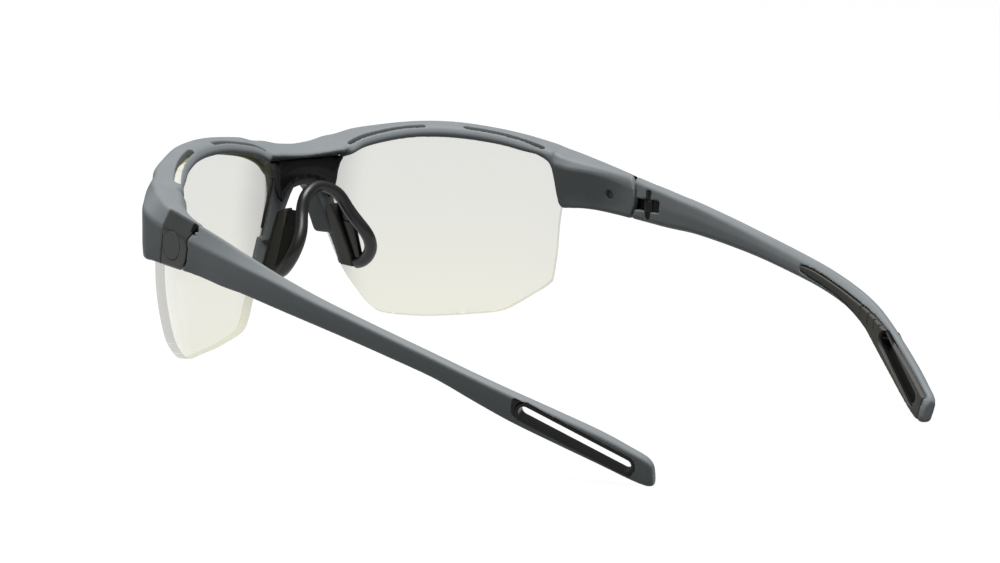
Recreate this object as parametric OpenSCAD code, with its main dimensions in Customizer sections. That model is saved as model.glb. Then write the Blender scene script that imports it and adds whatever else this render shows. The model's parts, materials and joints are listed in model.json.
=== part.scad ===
// Sports sunglasses, half-rimless and wrapped, with tilting and folding temples.
// Millimetres. +Z is up, the lenses face -Y, +X is the wearer's left.
// The origin is on the floor, under the middle of the whole pair of glasses.

/* [Lens] */
// Radius of the lens's hollow back face
lens_r = 64.2; // [62:0.2:68]
// Thickness of the lens
lens_t = 2.1; // [1.8:0.1:2.4]
// Distance of the lens's sphere from the middle plane
lens_aside = 7; // [6:0.1:8]
// Height of the lens's sphere above the floor
lens_level = 25.7; // [24:0.1:27]
// Foremost point of the lens's back face
lens_pole = -83; // [-84:0.1:-82]
// How deep the lens's edge sits in the rim
rim_grip = 1.1; // [0.8:0.1:1.4]
// Clearance between the lens and its groove
lens_clear = 0.06; // [0.04:0.01:0.15]

/* [Brow] */
// Thickness of the lip in front of the lens
lip_t = 1.4; // [1.2:0.1:2.2]
// Width of the air slots behind the lens
vent_w = 1.2; // [0.8:0.1:1.5]
// Thickness of the rim behind the air slots
back_t = 1.2; // [1:0.1:1.8]
// Height of the brow's ridge above the lens opening
brow_h = 3.9; // [3.4:0.1:5]
// Radius of the arch over the nose
arch_r = 4.4; // [3.8:0.1:4.8]
// Height of the arch's centre
arch_z = 31.8; // [31:0.1:32.4]
// Thickness of the black saddle behind the bridge
saddle_t = 2.2; // [1.9:0.1:2.4]
// Depth of the saddle's hollow
saddle_dip = 1.1; // [0.8:0.1:1.3]
// How far the inner air slot runs inside the lens's back face
inner_vent_in = 3.7; // [3.5:0.1:3.9]
// The same for the outer air slot
outer_vent_in = 3.1; // [2.9:0.1:3.3]

/* [Hinge] */
// Inner face of the sides, from the middle plane
side_in = 66; // [65.5:0.1:66.5]
// Thickness of the sides at the hinge
side_t = 4.3; // [4.2:0.1:4.8]
// Thickness of the side's inner wall
wall_t = 1.9; // [1.7:0.1:2]
// Thickness of the link's tongue
tongue_t = 1.2; // [1:0.05:1.3]
// Height of the link's tongue
tongue_h = 2.8; // [2.2:0.1:3]
// Radius of the tilt pin
tilt_pin_r = 1.2; // [1:0.05:1.4]
// Radius of the joint between front and temple
joint_r = 8.5; // [8.2:0.1:9]
// Gap at that joint
joint_gap = 0.6; // [0.45:0.05:0.7]
// Radius of the link's rear edge
link_r = 5.8; // [5.4:0.1:6]
// Gap in front of and behind the link
seam_gap = 0.4; // [0.35:0.05:0.5]
// Radius of the plain cap over the tilt pin
cap_r = 3.2; // [2.6:0.1:3.4]
// Thickness of that cap
cap_t = 0.6; // [0.4:0.05:0.7]
// Radius of the fold pin
fold_pin_r = 0.9; // [0.7:0.05:1]
// Running clearance of a pin in its bore, on the radius
run_clear = 0.04; // [0.02:0.01:0.08]
// Clearance of a seated piece
fit_clear = 0.02; // [0.01:0.01:0.05]
// Clearance between flat faces that slide
slide_clear = 0.1; // [0.08:0.01:0.12]

/* [Temple] */
// Thickness of the ear pad
pad_t = 1.2; // [0.8:0.1:1.4]
// Length of the slot in the temple's end
slot_len = 26; // [22:0.5:27]
// Height of that slot
slot_h = 3.9; // [3.4:0.1:4]
// Wall of the slot's black liner
liner_wall = 0.65; // [0.6:0.05:1]
// Depth of that liner
liner_depth = 3; // [2.6:0.1:3.4]

/* [Nose] */
// Radius of the soft nose loop's tube
loop_r = 1.65; // [1.3:0.05:1.8]
// Thickness of the loop's holders
holder_t = 2.6; // [2.2:0.1:3]
// Radius of the lens seals
seal_r = 0.35; // [0.25:0.05:0.4]

/* [Hidden] */
$fn = 96;

// Colours, as on the object
grey = [0.38, 0.40, 0.41];
black = [0.12, 0.12, 0.12];
charcoal = [0.24, 0.24, 0.24];
clear_ivory = [0.91, 0.91, 0.87, 0.6];
steel = [0.5, 0.5, 0.5];

// Centre of the lens's sphere
lens_c = [lens_aside, lens_pole + lens_r, lens_level];
function sq(a) = a * a;
// The lens's back face, moved forward by off
function lens_y(x, z, off = 0) =
    lens_c.y - sqrt(sq(lens_r + off) - sq(x - lens_c.x) - sq(z - lens_c.z));
// Radius of the lens's back face in the level plane at height z
function ring_r(z) = sqrt(sq(lens_r) - sq(z - lens_c.z));

// A smooth curve through rows of numbers, n steps from each row to the next
function curve_step(a, b, c, d, t) =
    0.5 * (2 * b + (c - a) * t + (2 * a - 5 * b + 4 * c - d) * t * t
        + (3 * b - a - 3 * c + d) * t * t * t);
function smooth(rows, n) = let (last = len(rows) - 1)
    [for (i = [0 : last - 1]) for (k = [0 : n - 1])
        curve_step(rows[max(i - 1, 0)], rows[i], rows[i + 1], rows[min(i + 2, last)], k / n),
     rows[last]];

// A closed outline with each corner rounded off over the distance r
function rounded(pts, r) = let (n = len(pts))
    [for (i = [0 : n - 1])
        let (p = pts[i], a = pts[(i + n - 1) % n], b = pts[(i + 1) % n],
             pa = p + (a - p) * min(0.45, r / max(norm(a - p), 0.01)),
             pb = p + (b - p) * min(0.45, r / max(norm(b - p), 0.01)))
        each [pa, (pa + 2 * p + pb) / 4, pb]];
// The same with each corner cut off flat
function cut(pts, r) = let (all = rounded(pts, r))
    [for (i = [0 : len(all) - 1]) if (i % 3 != 1) all[i]];

// A closed solid through rings of points
module skin(rings) {
    n = len(rings[0]);
    m = len(rings);
    polyhedron(
        points = [for (ring = rings) each ring],
        faces = concat(
            [[for (j = [0 : n - 1]) j]],
            [[for (j = [n - 1 : -1 : 0]) (m - 1) * n + j]],
            [for (i = [0 : m - 2]) for (j = [0 : n - 1])
                let (a = i * n + j, b = i * n + (j + 1) % n)
                each [[a, a + n, b], [b, a + n, b + n]]]),
        convexity = 10);
}

// Rings of a round tube along a path, each turned as little as may be from the last
function unit(v) = v / norm(v);
function tube_rings(path, r, sides, i = 0, up = [0, 1, 0.2]) = let (last = len(path) - 1)
    i > last ? [] :
        let (dir = unit(path[min(i + 1, last)] - path[max(i - 1, 0)]),
             side = unit(cross(dir, up)), turned = cross(side, dir))
        concat([[for (k = [0 : sides - 1]) let (a = -k * 360 / sides)
            path[i] + r * (cos(a) * side + sin(a) * turned)]],
            tube_rings(path, r, sides, i + 1, turned));

module both(side) {
    if (side == "left") children();
    else mirror([1, 0, 0]) children();
}

// Lens outline seen from the front: [x, z], from the brow's outer end round by the nose
lens_top = [[62.4, 33], [62.1, 37], [61.3, 40], [59.4, 42.4], [56, 44.5], [51, 46],
    [44, 47.4], [36, 48], [29, 47.8], [22, 46.8], [16, 45.2], [12, 43.6], [9.4, 41.2],
    [8.4, 38], [7.9, 34], [8.2, 29], [9.7, 22.5]];
lens_foot = [[13.4, 13.5], [16.8, 7.6], [19.2, 4], [22.2, 1.7], [28.5, 0.5], [35, 0],
    [43.8, 0.4], [49.3, 1.2], [52.6, 2.9], [57.2, 6.6], [59.3, 8.7], [60.2, 10.6],
    [61.6, 17.6], [62.3, 26.8]];
function grown(pts, g) = let (n = len(pts))
    [for (i = [0 : n - 1]) let (d = unit(pts[(i + 1) % n] - pts[(i + n - 1) % n]))
        pts[i] + g * [d.y, -d.x]];
lens_outline = concat(lens_top, lens_foot);
lens_edge = let (p = lens_outline, closed = concat([p[len(p) - 1]], p, [p[0], p[1]]),
    fine = smooth(closed, 3)) [for (i = [3 : len(fine) - 5]) fine[i]];

// The lens: a shell of two spheres, cut by its outline along the lens's middle direction
lens_turn = 32;
module lens_solid(gap) {
    intersection() {
        translate(lens_c) difference() {
            sphere(r = lens_r + lens_t + gap, $fn = 180);
            sphere(r = lens_r - gap, $fn = 180);
        }
        translate([lens_c.x, lens_c.y, 0]) rotate([0, 0, lens_turn]) rotate([90, 0, 0])
            linear_extrude(lens_r + 10) polygon(grown([for (p = lens_edge)
                [(p.x - lens_c.x) * cos(lens_turn) + (lens_y(p.x, p.y) - lens_c.y) * sin(lens_turn),
                 p.y]], gap));
    }
}

module lens(side) color(clear_ivory) both(side) lens_solid(0);

// The front frame is one skin from hinge to hinge. Each row is a cut across it:
// the place and turn of the cut, then eight corners as [out, up] from that place.
front_u = lens_t + lip_t;
// Middle radius of the two air slots, about the lens's upright axis
inner_vent_r = lens_r - inner_vent_in;
outer_vent_r = lens_r - outer_vent_in;
outer_vent_w = vent_w + 0.3;
inner_bar = inner_vent_r - vent_w / 2 - back_t;
outer_bar = outer_vent_r - outer_vent_w / 2 - back_t;
function row(x, y, turn, corners) = concat([x, y, turn], [for (c = corners) each c]);
// Rows of the bridge: the web behind the arch and the lip above it
web_y = lens_pole + 2.1;
function bridge_row(x, foot, top, front, lip, lip_z) = row(x, web_y, 0,
    [[0, foot], [0, foot + 1.5], [0, lip_z - 0.3], [-lip, lip_z],
     [-lip + 0.1, lip_z + 1], [front - 0.8, top], [front, top - 1.4],
     [front, foot + 2], [front - 0.6, foot]]);
// Rows of the brow, set on the lens: height of the opening, flare of the front
function brow_row(x, z, flare, rise, bar) = let (y = lens_y(x, z), back = bar - ring_r(z))
    row(x, y, atan2(x - lens_c.x, lens_c.y - y),
        [[-0.3, z - 0.1], [back + 0.6, z + 0.1], [back, z + 0.5],
         [back + 0.3, z + 2], [back + 1.6, z + 3.1], [front_u + flare, z + brow_h + rise],
         [front_u + flare + 0.9, z + brow_h + rise - 1.3],
         [front_u + flare + 0.6, z + 0.8], [front_u + flare * 0.5, z - 0.5]]);
// Rows of the side, at y behind the lens's end: width out, heights of foot, inner edge, ridge
// and outer edge, and how far the inner edge leans in
lens_end = lens_y(61.7, 33);
function side_row(x, y, turn, out, foot, inner, ridge, outer, lean) = row(x, lens_end + y, turn,
    [[0.4, foot + 0.1], [0, foot + 0.8], [0, foot + 3], [0.1 - lean, inner],
     [out * 0.14 - lean * 0.8, inner + (ridge - inner) * 0.72], [out * 0.5, ridge], [out, outer],
     [out, foot + 3], [out - 0.3, foot]]);
out_x = side_in + side_t;
front_rows = [
    bridge_row(0, 35.6, 46.4, 5.3, 1.9, 43.3),
    bridge_row(5, 35.8, 46.8, 5.3, 2.4, 43.6),
    bridge_row(9, 38.8, 47.7, 5.1, 3.2, 44),
    bridge_row(11, 41, 48, 4.75, 3.5, 44.1),
    brow_row(13, 43, 1.2, 1.3, inner_bar),
    brow_row(17, 44.6, 1, 0.8, inner_bar),
    brow_row(22, 45.7, 0.8, 0.3, inner_bar),
    brow_row(29, 46.7, 0.4, 0, inner_bar),
    brow_row(36, 46.9, 0.3, 0, (inner_bar + outer_bar) / 2),
    brow_row(43, 46.3, 0.6, 0, outer_bar),
    brow_row(50, 44.9, 0.4, 0, outer_bar),
    brow_row(54.5, 43.4, 0.8, 0.1, outer_bar),
    row(57.5, lens_end - 2.8, 42, [[-0.6, 42], [-1.5, 42.1], [-2.3, 42.5], [-2, 43.9],
        [-0.8, 44.9], [4.3, 46.4], [5.2, 45], [5.1, 42.6], [4.4, 41.4]]),
    row(59.6, lens_end - 0.7, 54, [[-0.4, 38.8], [-1.4, 39], [-2.6, 39.6], [-2.6, 43],
        [-1.4, 44], [4.3, 45.3], [5.8, 43.2], [5.7, 39.4], [5, 37.8]]),
    row(60.9, lens_end + 0.2, 72, [[0.3, 29.5], [0, 30.2], [-0.3, 33], [-3.4, 40.4],
        [-2.3, 43.4], [3.4, 44.5], [6.1, 41.4], [6.1, 32.5], [5.8, 29.4]]),
    row(61.7, lens_end + 2.6, 90, [[0.4, 28.8], [0, 29.4], [-0.2, 32], [-3.9, 40.2],
        [-2.5, 42.6], [4, 43.4], [8.1, 40], [8.1, 31.7], [7.8, 28.7]]),
    side_row(63.2, 5.2, 94, out_x - 63.2, 28.8, 39.6, 42.6, 38.7, 4),
    side_row(65.2, 8.6, 92, out_x - 65.2, 28.6, 39.1, 41.7, 37.7, 3.6),
    side_row(side_in, 13.6, 90, side_t, 28.3, 38.3, 40.7, 36.6, 2),
    side_row(side_in, 19.6, 90, side_t, 28, 36.9, 39.5, 35.5, 0.4),
    side_row(side_in, 25.6, 90, side_t, 27.6, 35.3, 38.2, 34.6, 0)];
brow_steps = 3;
function front_ring(v) = cut([for (k = [3 : 2 : len(v) - 2])
    [v[0] + v[k] * sin(v[2]), v[1] - v[k] * cos(v[2]), v[k + 1]]], 0.5);
side_start = 14;
half_rows = smooth(front_rows, brow_steps);
half_rings = [for (v = half_rows) front_ring(v)];
function flipped(ring) = [for (p = ring) [-p.x, p.y, p.z]];

// Corners of the strut beside the nose: [z, front inner x, front outer x, rear outer x, rear inner x]
strut_rows = [[43.2, 2, 10.4, 11.2, 3], [40, 1.6, 8.7, 9.6, 2.6], [37, 1.4, 7.9, 9.4, 2.4],
    [34, 2.8, 7.6, 10, 4], [30, 4.6, 8, 10.9, 5.9], [26, 6.2, 8.8, 11.9, 7.9],
    [23.6, 7.2, 9.5, 12.5, 9.2], [22.9, 8.1, 9.7, 12.7, 10]];
strut_front = lens_pole - 3.2;
strut_back = lens_pole + 2.6;
function strut_ring(v) = cut([[v[1], strut_front, v[0]], [v[4], strut_back, v[0]],
    [v[3], strut_back - 0.5, v[0]], [v[2], strut_front, v[0]]], 0.5);
// The strip below it, behind the lens: [z, inner x, outer x]
strip_rows = [[24, 9.3, 13.2], [20, 10.9, 14.7], [17, 11.9, 15.7], [14.6, 12.7, 16.4]];
strip_back = 1.7;
function strip_ring(v) = cut([
    [v[1], lens_y(v[1], v[0], 0.6), v[0]], [v[1], lens_y(v[1], v[0]) + strip_back, v[0]],
    [v[2], lens_y(v[2], v[0]) + strip_back * 0.6, v[0]],
    [v[2], lens_y(v[2], v[0], 0.6), v[0]]], 0.3);

module struts() {
    skin([for (v = smooth(strut_rows, 2)) strut_ring(v)]);
    skin([for (v = smooth(strip_rows, 2)) strip_ring(v)]);
}

// An air slot behind the lens between two angles about the lens's upright axis
function on_ring(a, r) = [lens_c.x + r * sin(a), lens_c.y - r * cos(a)];
module vent(from, to, r, w) {
    translate([0, 0, 40]) linear_extrude(14) polygon(concat(
        [for (k = [0 : 8]) let (a = from + (to - from) * k / 8) on_ring(a, r) + w / 2 * [sin(a), -cos(a)]],
        [for (k = [1 : 4]) on_ring(to, r) + w / 2 * [sin(to + k * 36), -cos(to + k * 36)]],
        [for (k = [8 : -1 : 0]) let (a = from + (to - from) * k / 8) on_ring(a, r) - w / 2 * [sin(a), -cos(a)]],
        [for (k = [1 : 4]) on_ring(from, r) + w / 2 * [sin(from + 180 + k * 36), -cos(from + 180 + k * 36)]]));
}

// Places of the hinge
tilt_y = lens_end + 14.2;
tilt_z = 33.5;
fold_x = side_in + 1.3;
fold_y = tilt_y + 13.1;
tongue_z = 32.1;
link_x = side_in + wall_t + slide_clear;
ear_x = link_x + tongue_t + slide_clear;
link_front = tilt_y - 3.2;
module at_tilt(x) translate([x, tilt_y, tilt_z]) rotate([0, 90, 0]) children();

// The link's side seen from the wearer's left, grown by g: its rear edge is an arc round the pin.
// Above the arc it is grown by play, which lets it tilt.
function link_side(g, play) = concat(
    [for (a = [-80 : 8 : 16]) [tilt_y + (link_r + g) * cos(a), tilt_z + (link_r + g) * sin(a)]],
    [[tilt_y + 7.7 + play, 39], [tilt_y + 8.2 + play, 46], [link_front - g, 46],
     [link_front - g, 34], [link_front - 1.6 - g, 26], [tilt_y + 1, 26]]);
module link_block(g, play, x, depth)
    translate([x, 0, 0]) rotate([90, 0, 90]) linear_extrude(depth) polygon(link_side(g, play));

// The part of a side forward of the joint's arc
module front_of_joint(r) {
    at_tilt(50) cylinder(r = r, h = 40);
    translate([50, -60, 20]) cube([40, 60 + tilt_y, 40]);
}

module side_envelope() skin([for (i = [side_start * brow_steps : len(half_rings) - 1]) half_rings[i]]);

module front_frame() color(grey) difference() {
    union() {
        intersection() {
            skin(concat([for (i = [len(half_rings) - 1 : -1 : 1]) flipped(half_rings[i])],
                half_rings));
            union() {
                translate([-60, -100, 20]) cube([120, 60, 40]);
                for (side = ["left", "right"]) both(side) front_of_joint(joint_r);
                for (side = ["left", "right"]) both(side)
                    translate([50, -70, 20]) cube([40, 70 + tilt_y, 40]);
            }
        }
        for (side = ["left", "right"]) both(side) struts();
    }
    translate([0, -70, arch_z]) rotate([90, 0, 0]) cylinder(r = arch_r, h = 30);
    for (side = ["left", "right"]) both(side) {
        lens_solid(lens_clear);
        vent(6.2, 25.6, inner_vent_r, vent_w);
        vent(36.4, 55, outer_vent_r, outer_vent_w);
        link_block(seam_gap, 2.5 * seam_gap, link_x - slide_clear, 10);
        translate([link_x - slide_clear, tilt_y, tongue_z - tongue_h / 2 - 0.8])
            cube([10, 20, tongue_h + 1.6]);
        translate([ear_x - slide_clear, tilt_y, 20]) cube([10, 20, 30]);
        at_tilt(50) cylinder(r = tilt_pin_r + fit_clear, h = 30);
    }
}

module tilt_pin(side) color(steel) both(side)
    at_tilt(side_in + 0.15) cylinder(r = tilt_pin_r, h = side_t - cap_t - 0.4);

module hinge_link(side) color(black) both(side) difference() {
    union() {
        intersection() {
            side_envelope();
            link_block(0, 0, link_x, 10);
        }
        translate([link_x, tilt_y, tongue_z - tongue_h / 2])
            cube([tongue_t, fold_y - tilt_y, tongue_h]);
        translate([fold_x, fold_y, tongue_z - tongue_h / 2]) cylinder(r = hub_r, h = tongue_h);
    }
    at_tilt(60) cylinder(r = tilt_pin_r + run_clear, h = side_in + side_t - cap_t - 60.2);
    at_tilt(out_x - cap_t) cylinder(r = cap_r + fit_clear, h = 5);
    translate([fold_x, fold_y, 20]) cylinder(r = fold_pin_r + fit_clear, h = 30);
}

module pivot_cap(side) color(charcoal) both(side)
    at_tilt(out_x - cap_t) cylinder(r = cap_r, h = cap_t);

fold_top = 35.7;
fold_foot = 28.7;
module fold_pin(side) color(black) both(side)
    translate([fold_x, fold_y, fold_foot]) cylinder(r = fold_pin_r, h = fold_top - fold_foot);

// Temple rows: [distance behind the tilt pin, x of the ridge, ridge, outer edge, foot,
// half thickness, lean of the foot]
temple_rows = [[-0.6, 68.2, 40.7, 36.6, 28.3, 2.15, 0], [5.4, 68.2, 39.5, 35.5, 28, 2.15, 0],
    [11.4, 68.3, 38.2, 34.6, 27.6, 2.15, 0], [18.4, 68.8, 36.8, 33.8, 27, 2.2, 0],
    [22.9, 69.1, 35.8, 33.3, 26.8, 2.2, 0], [28.4, 69.4, 34.7, 32.6, 26.5, 2.2, 0],
    [38.4, 69.5, 32.4, 31.2, 25.3, 2.1, 0.1],
    [49.4, 69, 29.9, 29, 23.8, 2, 0.2], [61.4, 67.8, 27.3, 26.6, 21.8, 1.9, 0.4],
    [72.4, 66.3, 24.9, 24.2, 19.7, 1.85, 0.5], [82.4, 64, 22.3, 21.6, 17.2, 1.85, 0.6],
    [90.4, 61.4, 19.8, 19, 13.9, 1.85, 0.8], [97.4, 58, 17.2, 16.2, 10.5, 1.85, 1],
    [105.4, 53.4, 14, 12.9, 6.9, 1.85, 1.2], [113.4, 48.6, 10.6, 9.5, 3.3, 1.8, 1.4],
    [118.4, 45.6, 8, 7, 1, 1.7, 1.4], [121.4, 43.8, 6.3, 5.4, 0, 1.6, 1.3],
    [122.5, 43.2, 5, 4.3, 0.3, 1.2, 1]];
temple_fine = smooth(temple_rows, 3);
// Direction out of the temple at step i, level
function out_dir(i) = let (last = len(temple_fine) - 1, a = temple_fine[max(i - 1, 0)],
    b = temple_fine[min(i + 1, last)]) unit([b[0] - a[0], a[1] - b[1], 0]);
// A point of the temple's cut: w out from the ridge, z up
function temple_pt(i, w, z) = let (v = temple_fine[i],
    lean = v[6] * (v[2] - z) / max(v[2] - v[4], 0.1))
    [v[1], tilt_y + v[0], z] + (w - lean) * out_dir(i);
function temple_ring(i) = let (v = temple_fine[i], h = v[5], top = v[2], edge = v[3], foot = v[4])
    rounded([temple_pt(i, -h * 0.5, foot), temple_pt(i, -h, foot + 0.9),
        temple_pt(i, -h, (foot + top) / 2),
        temple_pt(i, -h * 0.8, top - 1.2), temple_pt(i, 0, top), temple_pt(i, h, edge),
        temple_pt(i, h, (foot + edge) / 2), temple_pt(i, h * 0.8, foot + 0.1)], 0.45);

// The ear pad lies in a shallow bed in the temple's inner face
pad_first = 25;
pad_last = len(temple_fine) - 4;
// The rim above it narrows from pad_rim to slot_rim where it passes the slot
pad_rim = 1.9;
slot_rim = 0.9;
rim_from = 31;
rim_to = 37;
function rim_at(i) = pad_rim + (slot_rim - pad_rim) * max(0, min(1, (i - rim_from) / (rim_to - rim_from)));
// The rim below it, from the pad's start to the slot
foot_rim = 1.7;
foot_rim_slot = 0.6;
function foot_at(i) = foot_rim + (foot_rim_slot - foot_rim) * min(1, (i - pad_first) / (rim_to - pad_first));
// How much the pad narrows at its rounded start
pad_nose = 0.4;
function pad_ring(i, thick, g) = let (v = temple_fine[i], h = v[5],
    narrow = i == pad_first ? pad_nose : 0,
    top = v[2] - rim_at(i) + g - narrow, foot = v[4] + foot_at(i) - g + narrow)
    [temple_pt(i, -h + thick, foot), temple_pt(i, -h - g, foot),
     temple_pt(i, -h - g, (foot + top) / 2), temple_pt(i, -h - g, top),
     temple_pt(i, -h + thick, top)];

// The slot in the temple's end runs along its middle
slot_mid = [50.9, tilt_y + 108.9, 8.7];
module at_slot() translate(slot_mid) rotate([98, 23.5, 122.5]) children();
module stadium(len, h, depth) translate([0, 0, -depth / 2]) linear_extrude(depth) {
    square([len - h, h], center = true);
    for (s = [-1, 1]) translate([s * (len - h) / 2, 0]) circle(d = h, $fn = 32);
}

// The cam block lies behind the link's hub
hub_r = 1.5;
cam_y = fold_y + hub_r + slide_clear;
cam_len = 2;

module temple(side) color(grey) both(side) difference() {
    skin([for (i = [0 : len(temple_fine) - 1]) temple_ring(i)]);
    // clear of the front and of the link
    intersection() {
        front_of_joint(joint_r + joint_gap);
        translate([50, -60, 20]) cube([ear_x - 50, 60, 30]);
    }
    translate([50, -60, 20]) cube([40, 60 + tilt_y, 30]);
    link_block(seam_gap, seam_gap, 60, 20);
    // bed of the hinge, open to the inner face
    translate([fold_x, fold_y, tongue_z - tongue_h / 2 - slide_clear])
        cylinder(r = hub_r + slide_clear, h = tongue_h + 2 * slide_clear);
    translate([60, tilt_y + 1.4, tongue_z - tongue_h / 2 - slide_clear])
        cube([ear_x - 60, cam_y + cam_len + slide_clear - tilt_y - 1.4, tongue_h + 2 * slide_clear]);
    translate([fold_x, fold_y, fold_foot - slide_clear])
        cylinder(r = fold_pin_r + run_clear, h = fold_top - fold_foot + 2 * slide_clear);
    translate([60, fold_y - fold_pin_r * 0.85, fold_foot - slide_clear])
        cube([fold_x - 60, fold_pin_r * 1.7, fold_top - fold_foot + 2 * slide_clear]);
    skin([for (i = [pad_first : pad_last]) pad_ring(i, pad_t, 0.3)]);
    at_slot() stadium(slot_len, slot_h, 12);
}

module cam_block(side) color(black) both(side)
    translate([side_in + 0.7, cam_y, tongue_z - tongue_h / 2])
        cube([ear_x - side_in - 0.7 - fit_clear, cam_len, tongue_h]);

module ear_pad(side) color(charcoal) both(side) difference() {
    skin([for (i = [pad_first : pad_last]) pad_ring(i, pad_t - fit_clear, 0)]);
    at_slot() stadium(slot_len, slot_h, 12);
}

module slot_liner(side) color(black) both(side) at_slot() difference() {
    stadium(slot_len - 2 * fit_clear, slot_h - 2 * fit_clear, liner_depth);
    stadium(slot_len - 2 * liner_wall, slot_h - 2 * liner_wall, 12);
}

// The saddle seats on the struts' backs: hollow from side to side, crowned from top to foot.
// Rows from the middle out: [x, height of the foot]
saddle_rows = [[0, 38], [2.6, 37.6], [5, 36.3], [6.5, 34.7], [7.6, 32.6], [8.4, 33.6],
    [9.1, 35.6], [9.5, 38.6], [10.1, 41], [10.9, 42.4]];
saddle_top = 43;
saddle_half = saddle_rows[len(saddle_rows) - 1].x;
function saddle_ring(x, foot) = let (y = strut_back + fit_clear,
    t = saddle_t - saddle_dip * (1 - sq(x / saddle_half)), rise = saddle_top - foot)
    [[x, y + t * 0.35, saddle_top], [x, y, saddle_top], [x, y, foot],
     [x, y + t * 0.7, foot], [x, y + t, foot + rise * 0.25],
     [x, y + t, foot + rise * 0.6], [x, y + t * 0.8, foot + rise * 0.85]];
module bridge_cover() color(black) skin(concat(
    [for (i = [len(saddle_rows) - 1 : -1 : 1]) saddle_ring(-saddle_rows[i].x, saddle_rows[i].y)],
    [for (v = saddle_rows) saddle_ring(v.x, v.y)]));

// The soft loop over the nose: [x, y, z] from its top to its end
loop_half = [[0, -74.7, 37], [3.3, -73.9, 35.9], [5.7, -73.1, 34.2], [7.3, -72.3, 31.9],
    [8.5, -70.9, 29.4], [9.6, -69.5, 27.1], [10.8, -68.6, 24.8], [11.8, -68.4, 22.6],
    [12.7, -69, 20.3], [13.1, -70.7, 18], [12.9, -72.8, 16.4], [12.8, -74.7, 16]];
loop_path = let (half = smooth(loop_half, 2))
    concat([for (i = [len(half) - 1 : -1 : 1]) [-half[i].x, half[i].y, half[i].z]], half);
module nose_loop() color(black) skin(tube_rings(loop_path, loop_r, 12));

// Holders: [z, x of the middle, rear y]
holder_rows = [[31.4, 7.2, -77.3], [29.6, 7.8, -76.6], [26.5, 8.9, -75.9], [22, 10.5, -75.4],
    [18, 11.9, -75], [14.8, 12.9, -75.2]];
holder_front = strut_back + 0.2;
module pad_holder(side) color(charcoal) both(side)
    skin([for (v = smooth(holder_rows, 2)) rounded([
        [v[1] - holder_t / 2, holder_front, v[0]], [v[1] - holder_t / 2, v[2], v[0]],
        [v[1] + holder_t / 2, v[2], v[0]], [v[1] + holder_t / 2, holder_front, v[0]]], 0.4)]);

// The seals lie in the corner between the struts and the lens's back face
seal_off = 1.06 * seal_r + 0.05;
seal_path = [for (v = smooth(strut_rows, 2)) if (v[0] < 39 && v[0] > 24.6)
    let (x = v[3] + (v[2] - v[3]) * 0.18 + seal_r + 0.08) [x, lens_y(x, v[0]) + seal_off, v[0]]];
module lens_seal(side) color(black) both(side) skin(tube_rings(seal_path, seal_r, 8));

front_frame();
lens("left");  // lens_left
lens("right");  // lens_right
bridge_cover();
lens_seal("left");  // lens_seal_left
lens_seal("right");  // lens_seal_right
nose_loop();
pad_holder("left");  // pad_holder_left
pad_holder("right");  // pad_holder_right
tilt_pin("left");  // tilt_pin_left
tilt_pin("right");  // tilt_pin_right
hinge_link("left");  // hinge_link_left
hinge_link("right");  // hinge_link_right
pivot_cap("left");  // pivot_cap_left
pivot_cap("right");  // pivot_cap_right
fold_pin("left");  // fold_pin_left
fold_pin("right");  // fold_pin_right
temple("left");  // temple_left
temple("right");  // temple_right
cam_block("left");  // cam_block_left
cam_block("right");  // cam_block_right
ear_pad("left");  // ear_pad_left
ear_pad("right");  // ear_pad_right
slot_liner("left");  // slot_liner_left
slot_liner("right");  // slot_liner_right
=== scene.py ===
"""Looks of a pair of half-rimless sports glasses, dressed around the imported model.

Metres throughout. +Z is up, the lenses face -Y and +X is the wearer's left.
"""
import json
import math
from contextlib import contextmanager

import bpy
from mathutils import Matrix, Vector


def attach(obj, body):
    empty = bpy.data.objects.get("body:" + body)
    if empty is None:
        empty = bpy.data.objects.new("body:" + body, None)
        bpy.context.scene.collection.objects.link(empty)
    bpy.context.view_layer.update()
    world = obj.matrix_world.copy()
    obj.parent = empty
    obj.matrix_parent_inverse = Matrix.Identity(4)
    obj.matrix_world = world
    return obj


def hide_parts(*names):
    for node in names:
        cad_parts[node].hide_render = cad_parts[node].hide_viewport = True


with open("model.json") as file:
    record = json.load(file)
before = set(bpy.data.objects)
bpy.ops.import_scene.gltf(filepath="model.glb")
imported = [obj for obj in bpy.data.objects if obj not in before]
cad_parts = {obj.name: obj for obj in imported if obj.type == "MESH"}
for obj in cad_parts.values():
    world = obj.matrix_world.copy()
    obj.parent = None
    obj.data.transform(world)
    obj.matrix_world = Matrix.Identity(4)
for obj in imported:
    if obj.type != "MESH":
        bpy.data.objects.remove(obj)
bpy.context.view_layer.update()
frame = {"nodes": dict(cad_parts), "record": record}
nodes = frame["nodes"]
mounts = {mount["name"]: mount for mount in frame["record"]["mounts"]}

MM = 0.001
SIDES = {"left": 1, "right": -1}


# Shaders
class Flow:
    """A shader socket that takes part in sums, so that alpha + mask adds its own Math node."""

    def __init__(self, shader, socket):
        self.shader = shader
        self.socket = socket

    def _sum(self, operation, first, second):
        return self.shader.node("ShaderNodeMath", {"operation": operation}, {0: first, 1: second})

    def __add__(self, other):
        return self._sum("ADD", self, other)

    def __mul__(self, other):
        return self._sum("MULTIPLY", self, other)

    __radd__ = __add__
    __rmul__ = __mul__


class Shader:
    """The node tree of a material or of the sky: one method adds every node."""

    def __init__(self, owner):
        owner.use_nodes = True
        self.tree = owner.node_tree
        self.tree.nodes.clear()

    def node(self, kind, settings, inputs, output=0):
        """Adds a node: its settings first, then the values or links of its sockets."""
        made = self.tree.nodes.new(kind)
        for key, value in settings.items():
            setattr(made, key, value)
        for key, value in inputs.items():
            if isinstance(value, Flow):
                self.tree.links.new(value.socket, made.inputs[key])
            else:
                made.inputs[key].default_value = value
        return Flow(self, made.outputs[output] if made.outputs else None)


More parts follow.
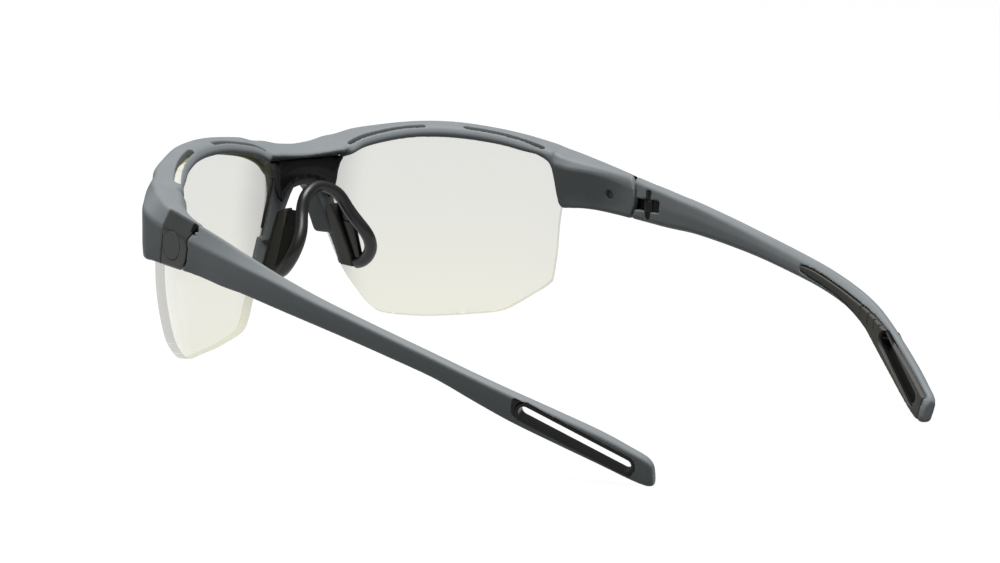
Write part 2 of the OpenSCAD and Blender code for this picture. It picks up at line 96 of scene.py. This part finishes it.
class Finish(Shader):
    """A material being made."""

    def __init__(self, name):
        self.material = bpy.data.materials.new(name)
        super().__init__(self.material)

    def place(self):
        """Where a point is on the object, in metres."""
        return self.node("ShaderNodeTexCoord", {}, {}, "Object")

    def noise(self, grain, detail):
        """Even noise from 0 to 1, with lumps of about that size in metres."""
        return self.node("ShaderNodeTexNoise", {},
                         {"Vector": self.place(), "Scale": 1 / grain, "Detail": detail})

    def blend(self, share, first, second):
        """One colour turning into another as the share goes from 0 to 1."""
        return self.node("ShaderNodeMix", {"data_type": "RGBA"},
                         {0: share, 6: first, 7: second}, output=2)

    def bump(self, height, strength, distance):
        """The surface's direction, with that height pressed into it."""
        return self.node("ShaderNodeBump", {},
                         {"Height": height, "Strength": strength, "Distance": distance})

    def surface(self, inputs):
        """The skin of plastic, rubber or metal."""
        return self.node("ShaderNodeBsdfPrincipled", {}, inputs)

    def done(self, shader):
        """Ends the material with this shader, and gives it back."""
        self.node("ShaderNodeOutputMaterial", {}, {"Surface": shader})
        return self.material


def colour(red, green, blue):
    """A colour as it looks on a screen, 0 to 255, for a shader."""
    def linear(value):
        value /= 255
        return value / 12.92 if value <= 0.04045 else ((value + 0.055) / 1.055) ** 2.4
    return (linear(red), linear(green), linear(blue), 1)


def grey(share):
    """A grey for a shader, from 0 for black to 1 for white."""
    return (share, share, share, 1)


# The lumps in a moulding's shade, how far its roughness swings, and how strong its bumps are
shade_lumps = 4 * MM
roughness_swing = 0.12
bump_strength = 0.35


def moulded(name, dark, light, roughness, grain, depth, gloss):
    """Moulded plastic or rubber: two near shades, and a fine texture of that grain and depth."""
    finish = Finish(name)
    shade = finish.noise(shade_lumps, detail=3)
    texture = finish.noise(grain, detail=2)
    return finish.done(finish.surface({
        "Base Color": finish.blend(shade, dark, light),
        "Roughness": roughness - roughness_swing / 2 + shade * roughness_swing,
        "Specular IOR Level": gloss,
        "Normal": finish.bump(texture, bump_strength, depth),
    }))


# Painted shade beside the nose: it starts this far from the middle plane and is full this near
painted_nose_shade_start = 22 * MM
painted_nose_shade_full = 9 * MM
# Painted light against the brow's shade: the lens's warm tint turns paler between these heights
painted_light_ramp_start = 8 * MM
painted_light_ramp_end = 44 * MM
lens_roughness = 0.05
lens_gloss = 0.25


def clear_lens(name, low, high, painted_nose_shade_colour, alpha, painted_nose_shade_alpha):
    """Clear warm-tinted plastic, with painted light paler at the top and painted shade beside the
    nose.
    """
    finish = Finish(name)
    # How near the nose a point is, for the painted shade there
    aside = finish.node("ShaderNodeSeparateXYZ", {}, {"Vector": finish.place()}, "X")
    away = finish.node("ShaderNodeMath", {"operation": "ABSOLUTE"}, {0: aside})
    beside = finish.node("ShaderNodeMapRange", {"interpolation_type": "SMOOTHSTEP"},
                         {"Value": away, "From Min": painted_nose_shade_start, "From Max": painted_nose_shade_full})
    # The height, for the painted light that makes the lens paler towards the top
    height = finish.node("ShaderNodeSeparateXYZ", {}, {"Vector": finish.place()}, "Z")
    painted_light_ramp = finish.node("ShaderNodeMapRange", {},
                         {"Value": height, "From Min": painted_light_ramp_start, "From Max": painted_light_ramp_end})
    return finish.done(finish.surface({
        "Base Color": finish.blend(beside, finish.blend(painted_light_ramp, low, high), painted_nose_shade_colour),
        "Roughness": lens_roughness,
        "Alpha": alpha + beside * painted_nose_shade_alpha,
        "Specular IOR Level": lens_gloss,
    }))


frame_grey = moulded("frame grey", colour(119, 124, 126), colour(126, 131, 133),
                     roughness=0.52, grain=0.25 * MM, depth=0.02 * MM, gloss=0.25)
band_grey = moulded("band grey", colour(62, 63, 63), colour(68, 69, 69),
                    roughness=0.42, grain=0.2 * MM, depth=0.01 * MM, gloss=0.4)
trim_black = moulded("trim black", colour(13, 13, 13), colour(18, 18, 18),
                     roughness=0.3, grain=0.2 * MM, depth=0.01 * MM, gloss=0.22)
trim_dark = moulded("trim dark", colour(45, 44, 40), colour(52, 51, 46),
                    roughness=0.5, grain=0.2 * MM, depth=0.01 * MM, gloss=0.25)
loop_rubber = moulded("loop rubber", colour(29, 29, 29), colour(34, 34, 34),
                      roughness=0.33, grain=0.3 * MM, depth=0.01 * MM, gloss=0.45)
pad_rubber = moulded("pad rubber", colour(72, 71, 67), colour(79, 78, 74),
                     roughness=0.62, grain=0.2 * MM, depth=0.02 * MM, gloss=0.25)
pin_steel = moulded("pin steel", colour(60, 60, 60), colour(66, 66, 66),
                    roughness=0.4, grain=0.2 * MM, depth=0.005 * MM, gloss=0.5)
# The lens: its own warm tint, with painted light paler towards the top and painted shade beside the
# nose
lens_clear = clear_lens("lens clear", low=(0.55, 0.52, 0.03, 1), high=(0.76, 0.72, 0.03, 1),
                        painted_nose_shade_colour=(0.36, 0.34, 0.18, 1), alpha=0.155, painted_nose_shade_alpha=0.13)
# The rim: a deeper tint of its own, with the same painted shade beside the nose
lens_edge = clear_lens("lens edge", low=(0.62, 0.6, 0.36, 1), high=(0.62, 0.6, 0.36, 1),
                       painted_nose_shade_colour=(0.4, 0.4, 0.3, 1), alpha=0.42, painted_nose_shade_alpha=0.1)

MATERIALS = {"frame": frame_grey, "lens": lens_clear, "black_trim": trim_black,
             "dark_trim": trim_dark, "soft_rubber": loop_rubber, "pad_rubber": pad_rubber,
             "pin": pin_steel}
node_slot = {part["node"]: part["material_slot"] for part in frame["record"]["subparts"]}
node_body = {name: body for body, names in frame["record"]["behaviour"]["bodies"].items()
             for name in names}
for name, thing in nodes.items():
    for slot in thing.material_slots:
        slot.material = MATERIALS[node_slot[name]]


# Making pieces
def only(thing):
    """Deselects everything, then selects and activates one object."""
    for other in bpy.context.selected_objects:
        other.select_set(False)
    if bpy.context.object and bpy.context.object.mode != "OBJECT":
        bpy.ops.object.mode_set(mode="OBJECT")
    bpy.context.view_layer.objects.active = thing
    thing.select_set(True)


def apply(thing, kind, **settings):
    """Gives an object a modifier with these settings, and applies it."""
    only(thing)
    modifier = thing.modifiers.new(kind.lower(), kind)
    for key, value in settings.items():
        setattr(modifier, key, value)
    bpy.ops.object.modifier_apply(modifier=modifier.name)


@contextmanager
def editing(thing):
    """Edit mode on one object, with its whole mesh selected."""
    only(thing)
    bpy.ops.object.mode_set(mode="EDIT")
    bpy.ops.mesh.select_all(action="SELECT")
    yield
    bpy.ops.object.mode_set(mode="OBJECT")


def settle(thing):
    """Puts an object's place, turn and size into its mesh."""
    only(thing)
    bpy.ops.object.transform_apply(location=True, rotation=True, scale=True)


def shade_by(thing, degrees):
    """Shades a piece smooth, apart from edges sharper than that angle."""
    only(thing)
    bpy.ops.object.shade_smooth_by_angle(angle=math.radians(degrees))


def fitted(thing, material, body, slot, *replaced):
    """Gives a finished piece its material and its body, and hides the nodes that it stands for."""
    settle(thing)
    thing.data.materials.clear()
    thing.data.materials.append(material)
    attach(thing, body)
    if replaced:
        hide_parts(*replaced)
    return thing


def twin(thing, name):
    """A copy with its own mesh."""
    other = thing.copy()
    other.data = thing.data.copy()
    other.name = name
    bpy.context.collection.objects.link(other)
    return other


# Points of a CAD mesh that are nearer than this are one point
weld = 0.001 * MM


def copy_of(name):
    """A copy of a CAD node, its loose triangles joined."""
    thing = twin(nodes[name], name + "_skin")
    thing.parent = None
    with editing(thing):
        bpy.ops.mesh.remove_doubles(threshold=weld)
    return thing


def in_place_of(name, thing):
    """Gives a skin the finish and the body of the node that it replaces."""
    return fitted(thing, MATERIALS[node_slot[name]], node_body[name], node_slot[name], name)


# How each kind of node is cast: its skin's grain, rounds of smoothing, and share of triangles kept
CASTS = {"front_frame": (0.22 * MM, 8, 0.4),
         "bridge_cover": (0.2 * MM, 4, 1),
         "temple": (0.25 * MM, 6, 1),
         "hinge_link": (0.16 * MM, 3, 1),
         "pad_holder": (0.16 * MM, 3, 1),
         "ear_pad": (0.2 * MM, 4, 1)}
smooth_share = 0.5


def cast_of(name):
    """A moulding cast from a CAD node: one even skin, its facets smoothed away."""
    grain, rounds, kept = CASTS[name.removesuffix("_left").removesuffix("_right")]
    thing = copy_of(name)
    apply(thing, "REMESH", mode="VOXEL", voxel_size=grain, use_smooth_shade=True)
    apply(thing, "SMOOTH", factor=smooth_share, iterations=rounds)
    if kept < 1:
        apply(thing, "DECIMATE", ratio=kept)
    only(thing)
    bpy.ops.object.shade_smooth()
    return in_place_of(name, thing)


def cut_by(thing, cutter, operation="DIFFERENCE", keep=False):
    """Cuts, joins or crosses a piece with another, which is then removed unless it is kept."""
    apply(thing, "BOOLEAN", operation=operation, object=cutter, solver="EXACT")
    if not keep:
        bpy.data.objects.remove(cutter)


def pick_corners(thing, chosen):
    """Enters edit mode with just the vertices that a test picks."""
    only(thing)
    bpy.ops.object.mode_set(mode="EDIT")
    bpy.ops.mesh.select_mode(type="VERT")
    bpy.ops.mesh.select_all(action="DESELECT")
    bpy.ops.object.mode_set(mode="OBJECT")
    for vertex in thing.data.vertices:
        vertex.select = chosen(vertex.co)
    bpy.ops.object.mode_set(mode="EDIT")
    bpy.ops.mesh.select_mode(type="VERT")


def to_side(side, *things):
    """Mirrors pieces for the wearer's right, because all of them are made for the left."""
    if side == "left":
        return
    for thing in things:
        with editing(thing):
            bpy.ops.transform.resize(value=(-1, 1, 1), center_override=(0, 0, 0))
            bpy.ops.mesh.normals_make_consistent(inside=False)


def new_block(size, place=(0, 0, 0), turn=(0, 0, 0)):
    """A block of that size, turned and put in place."""
    bpy.ops.mesh.primitive_cube_add(size=1)
    block = bpy.context.object
    block.scale = size
    block.rotation_euler = turn
    block.location = place
    settle(block)
    return block


# The slot in the left temple's end. Its middle is where the record has the mount
slot_mid = Vector(mounts["strap_slot_left"]["pos_m"])
slot_turn = (math.radians(98), math.radians(23.5), math.radians(122.5))
slot_length = 26 * MM
slot_height = 3.9 * MM
# Heights outwards from the slot's middle: the recess's floor, the hole's foot, and a block's top
recess_floor = 0.6 * MM
hole_foot = -4 * MM
block_top = 6 * MM
# How far the bezel is moved inwards and forwards, so that it lies below the temple's skin
bezel_in = 0.2 * MM
bezel_forward = 0.1 * MM
# Of a block's edges, those that run outwards rise more than this
upright_rise = 0.1 * MM


def slot_block(longer, higher, foot, slant, corner, drop=0.0):
    """A block over the left slot, that much longer and higher, with slanted ends, from its foot."""
    size = (slot_length + longer, slot_height + higher, block_top - foot)
    block = new_block(size, (0, -drop, (foot + block_top) / 2))
    pick_corners(block, lambda at: at.y > 0)
    bpy.ops.transform.translate(value=(-slant, 0, 0))
    bpy.ops.mesh.select_all(action="DESELECT")
    bpy.ops.object.mode_set(mode="OBJECT")
    for edge in block.data.edges:
        start, end = (block.data.vertices[index].co for index in edge.vertices)
        edge.select = abs(start.z - end.z) > upright_rise
    bpy.ops.object.mode_set(mode="EDIT")
    bpy.ops.mesh.select_mode(type="EDGE")
    bpy.ops.mesh.bevel(offset=corner, segments=5, affect="EDGES")
    bpy.ops.object.mode_set(mode="OBJECT")
    block.location = slot_mid
    block.rotation_euler = slot_turn
    settle(block)
    return block


def temple(side):
    """The temple's skin, with a black bezel let into its outer face round the slot."""
    skin = cast_of("temple_" + side)
    bed = slot_block(longer=1.2 * MM, higher=0.6 * MM, foot=recess_floor,
                     slant=1.2 * MM, corner=1.2 * MM, drop=0.2 * MM)
    hole = slot_block(longer=-1.5 * MM, higher=-1.5 * MM, foot=hole_foot,
                      slant=0.5 * MM, corner=1.1 * MM)
    to_side(side, bed, hole)
    bezel = twin(skin, "slot_bezel_" + side)
    cut_by(bezel, bed, "INTERSECT", keep=True)
    cut_by(bezel, hole)
    with editing(bezel):
        bpy.ops.transform.translate(value=(-bezel_in * SIDES[side], -bezel_forward, 0))
    fitted(bezel, trim_black, "arm_" + side, "black_trim")
    cut_by(skin, bed)
    shade_by(skin, degrees=50)


# The middle of the left lens's two spheres. A face that is less square to them than this is rim
lens_centre = (7 * MM, -18.8 * MM, 25.7 * MM)
lens_square = 0.7


def lens(side):
    """A lens whose rim has its own, deeper coloured finish."""
    name = "lens_" + side
    thing = copy_of(name)
    shade_by(thing, degrees=30)
    in_place_of(name, thing)
    thing.data.materials.append(lens_edge)
    x, y, z = lens_centre
    centre = Vector((x * SIDES[side], y, z))
    for face in thing.data.polygons:
        out = (face.center - centre).normalized()
        if abs(face.normal.dot(out)) < lens_square:
            face.material_index = 1


# The nose loop's radius, and its share of that from the top to this many millimetres aside
loop_radius = 1.56 * MM
loop_share_top = 0.93
loop_share_gain = 0.12
loop_grown_at = 11
# The nose loop's middle line for the wearer's left, from its top to its end, in millimetres
loop_route = [(0, -74.7, 37), (3.3, -73.9, 35.9), (5.7, -73.1, 34.2), (7, -72.3, 31.4),
              (8.1, -70.9, 28.9), (9.3, -69.5, 26.7), (10.7, -68.6, 24.6), (11.8, -68.4, 22.6),
              (12.7, -69, 20.3), (13.1, -70.7, 18), (12.9, -72.8, 16.4), (12.8, -74.7, 16)]


def nose_loop():
    """A soft tube: a curve with a round section, thicker towards its hooked ends."""
    route = [(-x, y, z) for x, y, z in loop_route[:0:-1]] + loop_route
    bpy.ops.curve.primitive_nurbs_path_add()
    thing = bpy.context.object
    thing.name = "nose_loop_tube"
    curve = thing.data
    curve.splines.clear()
    line = curve.splines.new("NURBS")
    line.points.add(len(route) - 1)
    for point, (x, y, z) in zip(line.points, route):
        point.co = (x * MM, y * MM, z * MM, 1)
        point.radius = loop_share_top + loop_share_gain * min(1, abs(x) / loop_grown_at)
    line.order_u = 4
    line.use_endpoint_u = True
    line.resolution_u = 8
    curve.bevel_depth = loop_radius
    curve.bevel_resolution = 7
    curve.use_fill_caps = True
    only(thing)
    bpy.ops.object.convert(target="MESH")
    shade_by(thing, degrees=50)
    fitted(thing, loop_rubber, "front", "soft_rubber", "nose_loop")


# The left holder: its lean and, in millimetres, the plane that cuts its top and its two channels
holder_lean = math.radians(-19)
holder_top = (0, -77.6, 31.1)
holder_top_normal = (0, -0.42, 0.91)
channel_size = (0.5, 0.28, 20)
channel_places = [(11.2, -79.1, 23.1), (10.6, -76.9, 23.1)]
# The left web, in millimetres: size and middle of its lower and its upper half
web_lower = ((1.3, 5, 10.5), (10.7, -73.9, 22.3))
web_upper = ((0.7, 4.4, 9.7), (9.2, -74.3, 26.6))
# The web's lower rear edge, under this height and behind this y, is drawn forward this far
web_edge_under = 20 * MM
web_edge_behind = -74 * MM
web_edge_draw = 1 * MM


def in_metres(lengths):
    """Lengths in millimetres, turned into metres."""
    return [length * MM for length in lengths]


def round_edges(radius):
    """Rounds the edges that are selected in edit mode."""
    bpy.ops.mesh.bevel(offset=radius, segments=3, affect="EDGES")


def slab(size, place, edge_radius=0):
    """A block that leans as the left holder does."""
    block = new_block(in_metres(size))
    if edge_radius:
        with editing(block):
            round_edges(edge_radius)
    block.rotation_euler = (0, holder_lean, 0)
    block.location = in_metres(place)
    settle(block)
    return block


def pad_holder(side):
    """The holder: its top cut on a slant, with two fine channels along its outer face."""
    thing = cast_of("pad_holder_" + side)
    with editing(thing):
        bpy.ops.mesh.bisect(plane_co=in_metres(holder_top), plane_no=holder_top_normal,
                            use_fill=True, clear_outer=True)
    for place in channel_places:
        channel = slab(channel_size, place)
        to_side(side, channel)
        cut_by(thing, channel)
    shade_by(thing, degrees=40)


def loop_web(side):
    """The black web that ties the holder to the loop: thick in its lower half, thin above."""
    thing = slab(*web_lower)
    pick_corners(thing, lambda at: at.z < web_edge_under and at.y > web_edge_behind)
    bpy.ops.transform.translate(value=(0, -web_edge_draw, 0))
    bpy.ops.mesh.select_all(action="SELECT")
    round_edges(0.3 * MM)
    bpy.ops.object.mode_set(mode="OBJECT")
    cut_by(thing, slab(*web_upper, edge_radius=0.2 * MM), "UNION")
    to_side(side, thing)
    thing.name = "loop_web_" + side
    fitted(thing, trim_black, "front", "black_trim")
    shade_by(thing, degrees=40)


# The left ear pad's grooves: their turn and, in millimetres, their size and the middle of each
groove_size = (0.8, 0.55, 9)
groove_turn = (math.radians(8), 0, math.radians(46))
groove_places = [(60, 51.2, 16), (58.6, 54.5, 15.2), (57.2, 57.4, 14), (55.9, 60, 12.6)]


def ear_pad(side):
    """The ear pad, with upright grooves cut across it in front of the slot."""
    thing = cast_of("ear_pad_" + side)
    for place in groove_places:
        groove = new_block(in_metres(groove_size), in_metres(place), groove_turn)
        to_side(side, groove)
        cut_by(thing, groove)
    shade_by(thing, degrees=40)


# The link's tongue and hub lie inside of this x, and behind this y
tongue_inside = 69.3 * MM
tongue_behind = -31.4 * MM


def hinge_link(side):
    """The link: its outer band is dark grey, and the tongue and hub are black."""
    thing = cast_of("hinge_link_" + side)
    thing.data.materials.append(trim_black)
    thing.data.materials[0] = band_grey
    for face in thing.data.polygons:
        if abs(face.center.x) < tongue_inside and face.center.y > tongue_behind:
            face.material_index = 1


cast_of("front_frame")
for side in SIDES:
    temple(side)
    lens(side)
    hinge_link(side)
    nodes["pivot_cap_" + side].material_slots[0].material = band_grey
    nodes["fold_pin_" + side].material_slots[0].material = trim_black
    ear_pad(side)
    pad_holder(side)
    loop_web(side)
nose_loop()
cast_of("bridge_cover")


# Floor, sky and lamp: metres, greys from 0 to 1, strengths, and watts
floor_size = 40
floor_seen = 0.04
floor_unseen = 0.08
floor_glow = 0.975
sky_tint = (0.96, 0.98, 1, 1)
sky_strength = 0.28
lamp_place = (0, 0.05, 1.1)
lamp_target = (0, -0.01, 0.03)
lamp_size = 0.8
lamp_power = 18


def white_floor():
    """A floor that shows white with the object's shadow, and throws little light back."""
    finish = Finish("floor")
    camera_ray = finish.node("ShaderNodeLightPath", {}, {}, "Is Camera Ray")
    glossy_ray = finish.node("ShaderNodeLightPath", {}, {}, "Is Glossy Ray")
    through_ray = finish.node("ShaderNodeLightPath", {}, {}, "Is Transmission Ray")
    seen = finish.node("ShaderNodeMath", {"operation": "ADD", "use_clamp": True},
                       {0: camera_ray + glossy_ray, 1: through_ray})
    unseen = finish.node("ShaderNodeBsdfDiffuse", {}, {"Color": grey(floor_unseen)})
    shadowed = finish.node("ShaderNodeBsdfDiffuse", {}, {"Color": grey(floor_seen)})
    glow = finish.node("ShaderNodeEmission", {}, {"Color": grey(1), "Strength": floor_glow})
    shown = finish.node("ShaderNodeAddShader", {}, {0: shadowed, 1: glow})
    return finish.done(finish.node("ShaderNodeMixShader", {}, {0: seen, 1: unseen, 2: shown}))


def white_sky():
    """A sky that shows white to the camera and lights the object faintly."""
    world = bpy.context.scene.world or bpy.data.worlds.new("studio")
    bpy.context.scene.world = world
    sky = Shader(world)
    camera_ray = sky.node("ShaderNodeLightPath", {}, {}, "Is Camera Ray")
    faint = sky.node("ShaderNodeBackground", {}, {"Color": sky_tint, "Strength": sky_strength})
    white = sky.node("ShaderNodeBackground", {}, {"Color": grey(1), "Strength": 1})
    shown = sky.node("ShaderNodeMixShader", {}, {0: camera_ray, 1: faint, 2: white})
    sky.node("ShaderNodeOutputWorld", {}, {"Surface": shown})


def top_lamp():
    """A round, soft lamp high above the glasses, which points at their middle."""
    bpy.ops.object.light_add(type="AREA", location=lamp_place)
    light = bpy.context.object
    light.name = "top light"
    light.data.shape = "DISK"
    light.data.size = lamp_size
    light.data.energy = lamp_power
    aim = Vector(lamp_target) - Vector(lamp_place)
    light.rotation_euler = aim.to_track_quat("-Z", "Y").to_euler()


bpy.ops.mesh.primitive_plane_add(size=floor_size, location=(0, 0, 0))
floor = bpy.context.object
floor.name = "floor"
floor.data.materials.append(white_floor())

white_sky()
top_lamp()

# Camera: metres, radians, and millimetres of lens and sensor
camera_place = (0.3725, 0.3989, 0.1224)
camera_turn = (math.radians(79.70), math.radians(-1.125), math.radians(137.646))
focal_length = 87.3
sensor_width = 36
bpy.ops.object.camera_add(location=camera_place, rotation=camera_turn)
camera = bpy.context.object
camera.data.lens = focal_length
camera.data.sensor_width = sensor_width
camera.data.clip_start = 0.01
bpy.context.scene.camera = camera
bpy.context.scene.view_settings.view_transform = "Standard"
